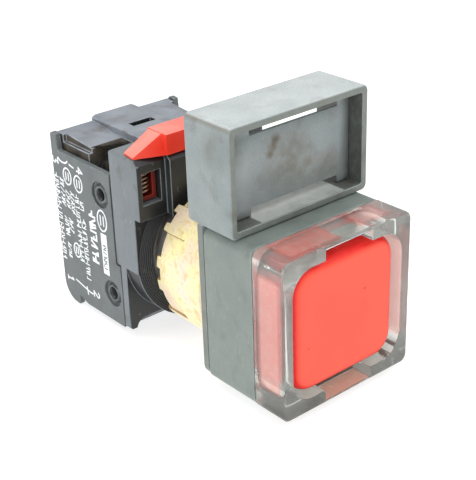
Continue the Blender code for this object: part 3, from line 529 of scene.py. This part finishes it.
def makeNut(n):
    # radius and rear are functions of the angle: shallow panels on four sides, notches at the rear.
    # In the bore the radius is a triangle wave of the place along the axis plus the turn, a thread
    columns = 720
    turn = np.linspace(0, 2 * math.pi, columns, endpoint=False)
    degrees = np.degrees(turn)
    fromSide = np.abs((degrees + 45) % 90 - 45)
    panel = n["panel"] * np.clip(n["panelHalf"] - fromSide, 0, 1)
    first = n["notches"][0][0]
    inQuarter = (degrees - first) % 90 + first
    notch = n["notch"] * np.any([(inQuarter > low) & (inQuarter < high)
                                 for low, high in n["notches"]], axis=0)
    flat = 0 * turn
    rows = [(n["outer"] - n["chamfer"] + flat, n["front"] + flat),
            (n["outer"] + flat, n["front"] + n["chamfer"] + flat),
            (n["outer"] + flat, n["panelStart"] - n["panelRamp"] + flat),
            (n["outer"] - panel, n["panelStart"] + n["panelRamp"] + flat),
            (n["outer"] - panel, n["rear"] - n["chamfer"] - notch),
            (n["outer"] - n["rearBreak"] - panel, n["rear"] - notch),
            (n["bore"] + n["rearMouth"] + flat, n["rear"] - notch)]
    count = 72
    along = np.linspace(n["rear"] - n["threadEnds"][0], n["front"] + n["threadEnds"][1], count)
    wave = np.abs(((along[:, None] / n["pitch"] + turn / (2 * math.pi)) % 1) * 2 - 1)
    fromEnd = np.minimum(np.arange(count), np.arange(count)[::-1])
    fade = np.clip(fromEnd / n["fadeRows"], 0, 1)[:, None]
    thread = n["bore"] + n["threadOut"] - n["thread"] * wave * fade
    rows += [(thread[i], along[i] + flat) for i in range(count)]
    rows += [(n["bore"] + n["frontMouth"] + flat, n["front"] + flat)]
    grid = np.stack([np.stack([radius * np.cos(turn), place, radius * np.sin(turn)], -1)
                     for radius, place in rows])
    item = makePiece("fixingNut", grid, gridFaces(*grid.shape[:2]), "yellow_zinc", "nut",
                     ("fixing_nut",))

    def seams(normal, centre):
        reach = np.hypot(centre[:, 0], centre[:, 2])
        outward = (normal[:, 0] * centre[:, 0] + normal[:, 2] * centre[:, 2]) / reach
        return (reach > n["seamReach"]) & (outward < 0.9) & (centre[:, 1] > n["panelStart"] - 1)

    paintFaces(item.data, "nut_seam", seams)
    return item


makeNut(fixingNut)
print("nut made")

# Moulded pieces that keep the CAD outline
moulded = {  # node: piece, slot, body, rounding in mm, rounding limited to what fits
    "mounting_adaptor": ("mountingAdaptor", "black_plastic", "fixed", 0.14, False),
    "contact_housing": ("contactHousing", "dark_plastic", "fixed", 0.16, False),
    "left_cover": ("leftCover", "cover_plastic", "fixed", 0.16, False),
    "right_cover": ("rightCover", "cover_plastic", "fixed", 0.16, False),
    "latch_lever": ("latchLever", "latch_red", "latch", 0.2, True),
}
made = {node: softened(node, *values) for node, values in moulded.items()}
darkParts = {  # places in mm where the moulded pieces turn to painted shade, on the block mixed with dirt
    "collarFront": 16.7, "adaptorSide": 14.93, "adaptorRear": 22.5, "leverUnderside": 19.5,
    "blockTop": 18.7, "blockBottom": -14.0, "blockSide": 14.0, "blockRear": 45.0,
    "slotHalf": (2.8, 1.1), "slotMiddle": 35.55, "slotZ": (17.0, 20.05)}


def paintMoulded(d):
    # each rule picks faces by their normal and by the place of their centre
    # painted shade: the adaptor's front faces, everything ahead of the collar front and its lower faces
    # between the sides turn near black, while its sides and top keep the lighter painted reflection
    paintFaces(made["mounting_adaptor"].data, "black_shade", lambda normal, centre:
               (normal[:, 1] < -0.6) | (centre[:, 1] < d["collarFront"])
               | ((np.abs(centre[:, 0]) < d["adaptorSide"]) & (normal[:, 2] < 0.5)
                  & (centre[:, 1] < d["adaptorRear"])))
    # painted light: the lever's upward faces get the lighter red
    paintFaces(made["latch_lever"].data, "latch_top_light", lambda normal, centre: normal[:, 2] > 0.6)
    # painted shade: the lever's faces below the underside height turn near black red
    paintFaces(made["latch_lever"].data, "latch_shade", lambda normal, centre:
               centre[:, 2] < d["leverUnderside"])
    # painted shade and dirt: the block's front and openings between the covers, below its top and ahead of
    # its rear face, turn dark brown grey
    paintFaces(made["contact_housing"].data, "grime_and_shade", lambda normal, centre:
               (centre[:, 2] < d["blockTop"]) & (centre[:, 2] > d["blockBottom"])
               & (np.abs(centre[:, 0]) < d["blockSide"]) & (centre[:, 1] < d["blockRear"]))
    # painted shade: the slot in the block's top is made near black
    paintFaces(made["contact_housing"].data, "black_shade", lambda normal, centre:
               (np.abs(centre[:, 0]) < d["slotHalf"][0])
               & (np.abs(centre[:, 1] - d["slotMiddle"]) < d["slotHalf"][1])
               & (centre[:, 2] > d["slotZ"][0]) & (centre[:, 2] < d["slotZ"][1]))


paintMoulded(darkParts)
print("moulded pieces made")

# Legend holder: a box with a web across it, and the plate that the head clamps to the panel
legend = {"half": (15.65, 9.75), "middle": 24.95, "corner": 1.2, "round": 0.45, "front": -9.9,
          "rear": 1.6, "wall": 1.3, "webFront": -6.6, "web": 0.6, "slotX": (-8.6, 11.5),
          "upperSlot": (30.9, 32.1), "lowerSlot": 18.1, "edge": 0.15, "innerCorner": 0.5,
          "overlap": 0.2, "lightAbove": 30.0}
panelPlate = {"half": (15.0, 16.0), "rise": 1.0, "corner": 2.4, "hole": 11.2, "front": -1.4,
              "rear": 0.0, "edge": 0.12}


def makeLegendBox(g):
    # a tube of rounded rectangles: outside with both ends rounded, then the inside
    wide, high = g["half"]
    ends = fillet(g["round"], 5)
    rows = [(wide - inset, high - inset, g["corner"] - inset, g["rear"] - back, 0)
            for inset, back in ends[::-1]]
    rows += [(wide - inset, high - inset, g["corner"] - inset, g["front"] + back, 0)
             for inset, back in ends]
    inner = (wide - g["wall"], high - g["wall"], g["innerCorner"])
    rows += [(*inner, along, 0) for along in (g["front"], g["webFront"] + g["overlap"], g["rear"])]
    grid = loft(rows)
    grid[..., 2] += g["middle"]
    item = makePiece("legendBox", grid, gridFaces(*grid.shape[:2]), "legend_grey", "fixed",
                     ("legend_holder",), g["edge"], tubeAngle)
    paintFaces(item.data, "legend_top_light", lambda normal, centre:
               (normal[:, 2] > 0.75) & (centre[:, 2] > g["lightAbove"]))
    return item


def makeLegendWeb(g):
    # a flat grid of cells with the two slots left out, thickened to the rear
    wide, high = (half - g["wall"] + g["overlap"] for half in g["half"])
    across = np.array([-wide, *g["slotX"], wide])
    up = np.array([g["middle"] - high, g["lowerSlot"], *g["upperSlot"], g["middle"] + high])
    x, z = np.meshgrid(across, up, indexing="ij")
    points = np.stack([x, np.full(x.shape, g["webFront"]), z], -1)
    faces = gridFaces(len(across), len(up), False, False)
    kept = np.ones((len(across) - 1, len(up) - 1), bool)
    kept[1, 0] = kept[1, 2] = False
    item = makePiece("legendWeb", points, faces[kept.reshape(-1)], "legend_grey", "fixed")
    mesh = item.data
    if mesh.polygons[0].normal.y > 0:
        mesh.flip_normals()
    thick = item.modifiers.new("thick", "SOLIDIFY")
    thick.thickness = g["web"] * mm
    thick.offset = -1
    return item


def makePanelPlate(p):
    # a ring between a rounded rectangle and a circle
    outer, hole = (*p["half"], p["corner"]), (p["hole"], p["hole"], p["hole"])
    rows = [(*outer, p["rear"], 0), (*outer, p["front"], 0), (*hole, p["front"], 0),
            (*hole, p["rear"], 0)]
    grid = loft(rows)
    grid[:2, :, 2] += p["rise"]
    return makePiece("panelPlate", grid, gridFaces(*grid.shape[:2]), "legend_grey", "fixed", (),
                     p["edge"], tubeAngle)


makeLegendBox(legend)
makeLegendWeb(legend)
makePanelPlate(panelPlate)
print("legend holder made")

# Fine turning marks on the front of the adaptor's collar
collarRing = {"inner": 11.6, "outer": 14.8, "front": 18.5, "rear": 18.7, "depth": 0.07, "pitch": 0.42,
              "rings": 90, "columns": 160}


def makeCollarRing(c):
    # a flat ring whose front is a sine of the radius
    radius = np.linspace(c["inner"], c["outer"], c["rings"])
    front = c["front"] + c["depth"] * np.sin(2 * math.pi * (radius - c["inner"]) / c["pitch"])
    rows = list(zip(radius, front)) + [(c["outer"], c["rear"]), (c["inner"], c["rear"])]
    grid = turned(rows, (0, 0), "Y", c["columns"])
    item = makePiece("collarRing", grid, gridFaces(*grid.shape[:2]), "black_plastic", "fixed")
    # painted shade: the ring's front is near black like the adaptor's front faces
    item.data.materials[0] = materials["black_shade"]
    return item


makeCollarRing(collarRing)
print("collar made")

# Springs
coils = {  # start and end are the two ends of the wire along the axis, in mm
    "latchSpring": {"node": "latch_spring", "metal": "copper", "axis": "Z", "centre": (-12.35, 19.1),
                    "radius": 1.0, "wire": 0.24, "start": 13.75, "end": 18.3, "turns": 5,
                    "bodies": ("fixed", "latch"), "inset": (0.15, 0.1)},
    "buttonSpring": {"node": "button_spring", "metal": "spring_steel", "axis": "Y", "centre": (0, 0),
                     "radius": 6.4, "wire": 0.5, "start": -11.5, "end": 8.0, "turns": 7,
                     "bodies": ("button", "fixed"), "inset": (0.1, 0.1)},
    "plungerSpring": {"node": "plunger_spring", "metal": "spring_steel", "axis": "Y", "centre": (0, 0),
                      "radius": 1.7, "wire": 0.3, "start": 33.6, "end": 43.4, "turns": 5,
                      "bodies": ("contacts", "fixed"), "inset": (0.1, 0.1)},
}
coilSteps = {"perTurn": 48, "round": 14}


def makeCoil(name, c):
    # a circle of the wire's radius carried along a helix; its radius falls to 0 at both ends
    count = c["turns"] * coilSteps["perTurn"]
    part = np.linspace(0, 1, count)[:, None]
    around = np.linspace(0, 2 * math.pi, coilSteps["round"], endpoint=False)[None, :]
    turn = 2 * math.pi * c["turns"] * part
    thick = c["wire"] * np.where((part == 0) | (part == 1), 0, 1)
    reach = c["radius"] + thick * np.cos(around)
    along = (c["start"] + c["wire"] + (c["end"] - c["start"] - 2 * c["wire"]) * part
             + thick * np.sin(around))
    across, up = reach * np.cos(turn), reach * np.sin(turn)
    x, y = c["centre"]
    upright = c["axis"] == "Z"
    grid = np.stack([x + across, y + up, along] if upright else [x + across, along, y + up], -1)
    item = makePiece(name, grid, gridFaces(count, coilSteps["round"], wrapRows=False), c["metal"], None,
                     (c["node"],))
    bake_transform(item)
    return item


for name, values in coils.items():
    makeCoil(name, values)
print("springs made")

# Rivets: hollow pins that close the two covers
rivets = {"upperRivet": ("upper_rivet", 29.6, 10.9), "lowerRivet": ("lower_rivet", 28.0, -9.5)}
rivetShape = {"head": 2.1, "shank": 1.4, "bore": 1.25, "deep": 0.9, "face": 14.8, "under": 14.2,
              "bottom": 11.0, "deepFrom": 0.9, "boreFrom": 0.45, "boreReach": 1.27, "columns": 48,
              "lip": ((0.06, 0.08), (0.2, 0.0), (0.45, 0.0)), "rim": ((0.2, 0.25), (0.0, 0.4))}


def makeRivet(name, node, along, up, r):
    # a pin with a rolled lip and a deep bore at both ends, its profile turned about X
    face = r["face"]
    half = [(0, r["bottom"]), (r["deep"], r["bottom"]), (r["deep"], face - r["deepFrom"]),
            (r["bore"], face - r["boreFrom"])]
    half += [(r["bore"] + out, face - back) for out, back in r["lip"]]
    half += [(r["head"] - inset, face - back) for inset, back in r["rim"]]
    half += [(r["head"], r["under"]), (r["shank"], r["under"])]
    rows = half + [(radius, -place) for radius, place in half[::-1]]
    grid = turned(rows, (along, up), "X", r["columns"])
    item = makePiece(name, grid, gridFaces(*grid.shape[:2], wrapRows=False), "steel", "fixed", (node,))
    item.data.materials[0] = materials["rivet_dark"]
    # painted shade: the bore is made near black
    paintFaces(item.data, "black_shade", lambda normal, centre:
               np.hypot(centre[:, 1] - along, centre[:, 2] - up) < r["boreReach"])
    return item


for name, place in rivets.items():
    makeRivet(name, *place, rivetShape)
print("rivets made")

# Print on the left cover: numbers, contact lines, rings and rows of plain strokes
coverPrint = {
    "face": -14.99, "ink": 0.035, "stroke": 0.33, "overrun": 0.35, "step": 0.004, "layers": 7,
    "pitch": 0.86, "lead": 0.85, "cell": 0.68, "shortest": 0.2,
    "columns": (  # Y of the row, its top and bottom Z, the height and the thickness of its marks
        (44.5, 11.2, -8.8, 1.3, 0.24), (42.7, 10.6, 3.4, 1.2, 0.22), (41.0, 8.4, 4.0, 1.15, 0.22),
        (39.4, 8.6, 2.8, 1.15, 0.22), (37.8, 8.6, 2.4, 1.2, 0.22), (36.2, 7.4, 4.8, 1.1, 0.22),
        (42.3, 2.4, -2.4, 1.25, 0.24), (40.7, 2.4, -1.6, 1.25, 0.24), (42.2, -3.4, -7.4, 1.0, 0.22),
        (37.9, 2.4, -7.2, 1.25, 0.24), (36.1, 3.8, -10.2, 1.3, 0.24), (32.9, 6.8, -5.6, 1.9, 0.46)),
    "rings": ((40.5, 11.4, 1.35, 1.7), (36.8, 10.9, 1.35, 1.7), (29.5, 5.6, 1.5, 2.15),
              (39.5, -4.2, 1.1, 1.5)),  # centre Y and Z, then the two radii
    "ringBars": (-0.32, 0.32), "ringBarReach": 0.45,
    "numbers": (("3", 44.3, 13.8, 1.5, 1.9), ("4", 35.9, 13.9, 1.5, 1.9), ("1", 43.0, -11.8, 1.2, 2.0),
                ("2", 33.8, -12.1, 1.4, 1.9)),
    "arc": (41.6, 15.0, 1.7, 1.0, 200, 340),
    "dashes": (((39.4, 14.2), (38.0, 13.9)), ((41.0, -11.4), (36.2, -12.4)),
               ((37.2, -11.6), (36.9, -13.2)), ((36.2, -12.4), (35.2, -12.4))),
    "bar": (29.4, 2.2, -5.2, 1.9), "barMarks": (0.4, 0.1, 0.95, 0.24), "barInk": 1.5}
digits = {  # polylines in a unit cell, across then up
    "1": ((0.25, 0.8), (0.55, 1.0), (0.55, 0.0), (0.2, 0.0), (0.9, 0.0)),
    "2": ((0.1, 0.8), (0.35, 1.0), (0.75, 0.95), (0.85, 0.7), (0.1, 0.0), (0.95, 0.0)),
    "3": ((0.1, 0.95), (0.8, 1.0), (0.45, 0.6), (0.85, 0.4), (0.75, 0.05), (0.1, 0.05)),
    "4": ((0.7, 0.0), (0.7, 1.0), (0.1, 0.35), (0.95, 0.35)),
}


def strokeBoxes(name, segments, widths, ink, slotName, p):
    # each stroke is a thin box: its line offset to both sides by half the width
    start, end = segments[:, 0], segments[:, 1]
    span = end - start
    unit = span / np.linalg.norm(span, axis=1, keepdims=True)
    widths = np.reshape(widths, (-1, 1))
    side = np.stack([-unit[:, 1], unit[:, 0]], -1) * widths / 2
    cap = unit * widths * p["overrun"]
    flat = np.stack([start - cap - side, end + cap - side, end + cap + side, start - cap + side], 1)
    both = np.concatenate([flat, flat], 1)
    depth = np.repeat(np.array([p["face"] - ink] * 4 + [p["face"]] * 4)[None], len(flat), 0)
    layer = np.arange(len(flat)) % p["layers"]  # so that no crossing strokes share a plane
    depth[:, :4] -= p["step"] * layer[:, None]
    points = np.stack([depth, both[..., 0], both[..., 1]], -1)
    corners = np.array([[0, 1, 2, 3], [4, 7, 6, 5], [0, 4, 5, 1], [1, 5, 6, 2], [2, 6, 7, 3],
                        [3, 7, 4, 0]])
    faces = (np.arange(len(flat))[:, None, None] * 8 + corners).reshape(-1, 4)
    return makePiece(name, points, faces, slotName, "fixed")


def strokeRows(columns, p):
    # rows of marks along Z: three strokes between the nine points of each cell
    lines, widths = [], []
    for along, top, bottom, tall, thick in columns:
        pitch = tall * p["pitch"]
        count = int((top - bottom) / pitch)
        cell = np.stack([np.full(count, along - tall / 2),
                         top - pitch * (np.arange(count) + p["lead"])], -1)
        ends = rng.integers(0, 3, (count, 3, 2, 2)) / 2
        ends[:, 0, 0] = (0, 0)
        ends[:, 0, 1] = (1, rng.integers(0, 2))
        ends = ends * np.array([tall, pitch * p["cell"]])
        found = (cell[:, None, None] + ends).reshape(-1, 2, 2)
        long = np.linalg.norm(found[:, 1] - found[:, 0], axis=1) > p["shortest"]
        lines.append(found[long])
        widths.append(np.full(int(long.sum()), thick))
    return np.concatenate(lines), np.concatenate(widths)


def pathLines(path):
    # a line from each point of the path to the next
    return np.stack([path[:-1], path[1:]], 1)


def digitLines(digit, along, up, wide, tall):
    # the unit cell scaled to its size and laid on its side, with its top towards the front
    across, high = np.array(digits[digit]).T
    return pathLines(np.stack([along + tall / 2 - tall * high, up + wide / 2 - wide * across], -1))


def arcLines(along, up, radiusY, radiusZ, first=0, last=360, count=28):
    # an ellipse: the centre plus one radius times cos and the other times sin of the angle
    turn = np.radians(np.linspace(first, last, count + 1))
    return pathLines(np.stack([along + radiusY * np.cos(turn), up + radiusZ * np.sin(turn)], -1))


def makePrint(p):
    # rows of marks, then numbers, an arc, dashes and rings with two bars, then the white bar
    lines, widths = strokeRows(p["columns"], p)
    extra = [digitLines(*number) for number in p["numbers"]]
    extra += [arcLines(*p["arc"], 12), np.array(p["dashes"])]
    extra += [arcLines(*ring) for ring in p["rings"]]
    extra += [np.array([[(y + radiusY * part, z + radiusZ * reach) for reach in
                         (p["ringBarReach"], -p["ringBarReach"])]])
              for y, z, radiusY, radiusZ in p["rings"] for part in p["ringBars"]]
    extra = np.concatenate(extra)
    y, top, bottom, wide = p["bar"]
    lines = np.concatenate([lines, extra, [[(y, top), (y, bottom)]]])
    widths = np.concatenate([widths, np.full(len(extra), p["stroke"]), [wide]])
    strokeBoxes("coverPrint", lines, widths, p["ink"], "print", p)
    above, below, tall, thick = p["barMarks"]
    dark, darkWidths = strokeRows(((y, top - above, bottom - below, tall, thick),), p)
    strokeBoxes("barMarks", dark, darkWidths, p["ink"] * p["barInk"], "cover_plastic", p)


makePrint(coverPrint)
print("print made")

# Materials of the CAD nodes that still show
finishOf = (  # the first word found in a node's name decides
    ("carrier", "dark_plastic"), ("clip", "steel"), ("barrel", "barrel_metal"), ("seal", "rubber"),
    ("plunger", "white_plastic"), ("block_screw", "steel"), ("bridge_spring", "spring_steel"),
    ("bridge", "brass"), ("strip", "brass"), ("", "screw_steel"))
for name, node in nodes.items():
    if node.hide_render:
        continue
    found = next(slot for word, slot in finishOf if word in name)
    node.data.materials.clear()
    node.data.materials.append(materials[found])

# Stage, light and camera
studio = {"floor": -0.0171, "reach": 3.0, "floorTone": (0.5, 0.5, 0.5), "floorGlow": 0.72,
          "floorRoughness": 0.9, "world": 0.68, "aim": (0, 0.015, 0.005),
          "lights": (  # name, place, side and power
              ("key", (0.12, -0.30, 0.45), 0.3, 0.85), ("fill", (-0.42, -0.16, 0.20), 0.3, 0.4),
              ("top", (-0.08, 0.12, 0.5), 0.35, 1.15))}


def makeFloor(s):
    # one square, a little below the object, that glows enough to look like pale paper
    size, low = s["reach"], s["floor"]
    mesh = bpy.data.meshes.new("floor")
    mesh.from_pydata([(-size, -size, low), (size, -size, low), (size, size, low), (-size, size, low)],
                     [], [(0, 1, 2, 3)])
    paper = bpy.data.materials.new("mat_floor")
    paper.use_nodes = True
    shader = paper.node_tree.nodes["Principled BSDF"]
    shader.inputs["Base Color"].default_value = (*s["floorTone"], 1)
    shader.inputs["Roughness"].default_value = s["floorRoughness"]
    shader.inputs["Emission Color"].default_value = (1, 1, 1, 1)
    shader.inputs["Emission Strength"].default_value = s["floorGlow"]
    mesh.materials.append(paper)
    floor = bpy.data.objects.new("floor", mesh)
    bpy.context.scene.collection.objects.link(floor)


def makeLights(s):
    # an even white world and three soft square lights aimed at the object
    world = bpy.data.worlds.new("studio")
    world.use_nodes = True
    background = world.node_tree.nodes["Background"]
    background.inputs["Color"].default_value = (1, 1, 1, 1)
    background.inputs["Strength"].default_value = s["world"]
    bpy.context.scene.world = world
    for name, place, wide, power in s["lights"]:
        light = bpy.data.lights.new(name, "AREA")
        light.size = wide
        light.energy = power
        item = bpy.data.objects.new(name, light)
        item.location = place
        towards = Vector(s["aim"]) - Vector(place)
        item.rotation_euler = towards.to_track_quat("-Z", "Y").to_euler()
        bpy.context.scene.collection.objects.link(item)


makeFloor(studio)
makeLights(studio)

view = {"place": (-0.122754, -0.141022, 0.099069), "right": (0.76056, -0.64853, -0.03094),
        "up": (0.30780, 0.31819, 0.89667), "forward": (0.57167, 0.69150, -0.44162), "lens": 87.49,
        "sensor": 36, "nearest": 0.001}


def makeCamera(v):
    # the columns of its matrix are right, up, backward and place
    lens = bpy.data.cameras.new("camera")
    lens.lens = v["lens"]
    lens.sensor_width = v["sensor"]
    lens.clip_start = v["nearest"]
    camera = bpy.data.objects.new("camera", lens)
    backward = [-part for part in v["forward"]]
    rows = zip(v["right"], v["up"], backward, v["place"])
    camera.matrix_world = Matrix([*rows, (0, 0, 0, 1)])
    bpy.context.scene.collection.objects.link(camera)
    bpy.context.scene.camera = camera


makeCamera(view)
bpy.context.scene.view_settings.view_transform = "Standard"
print("stage made")
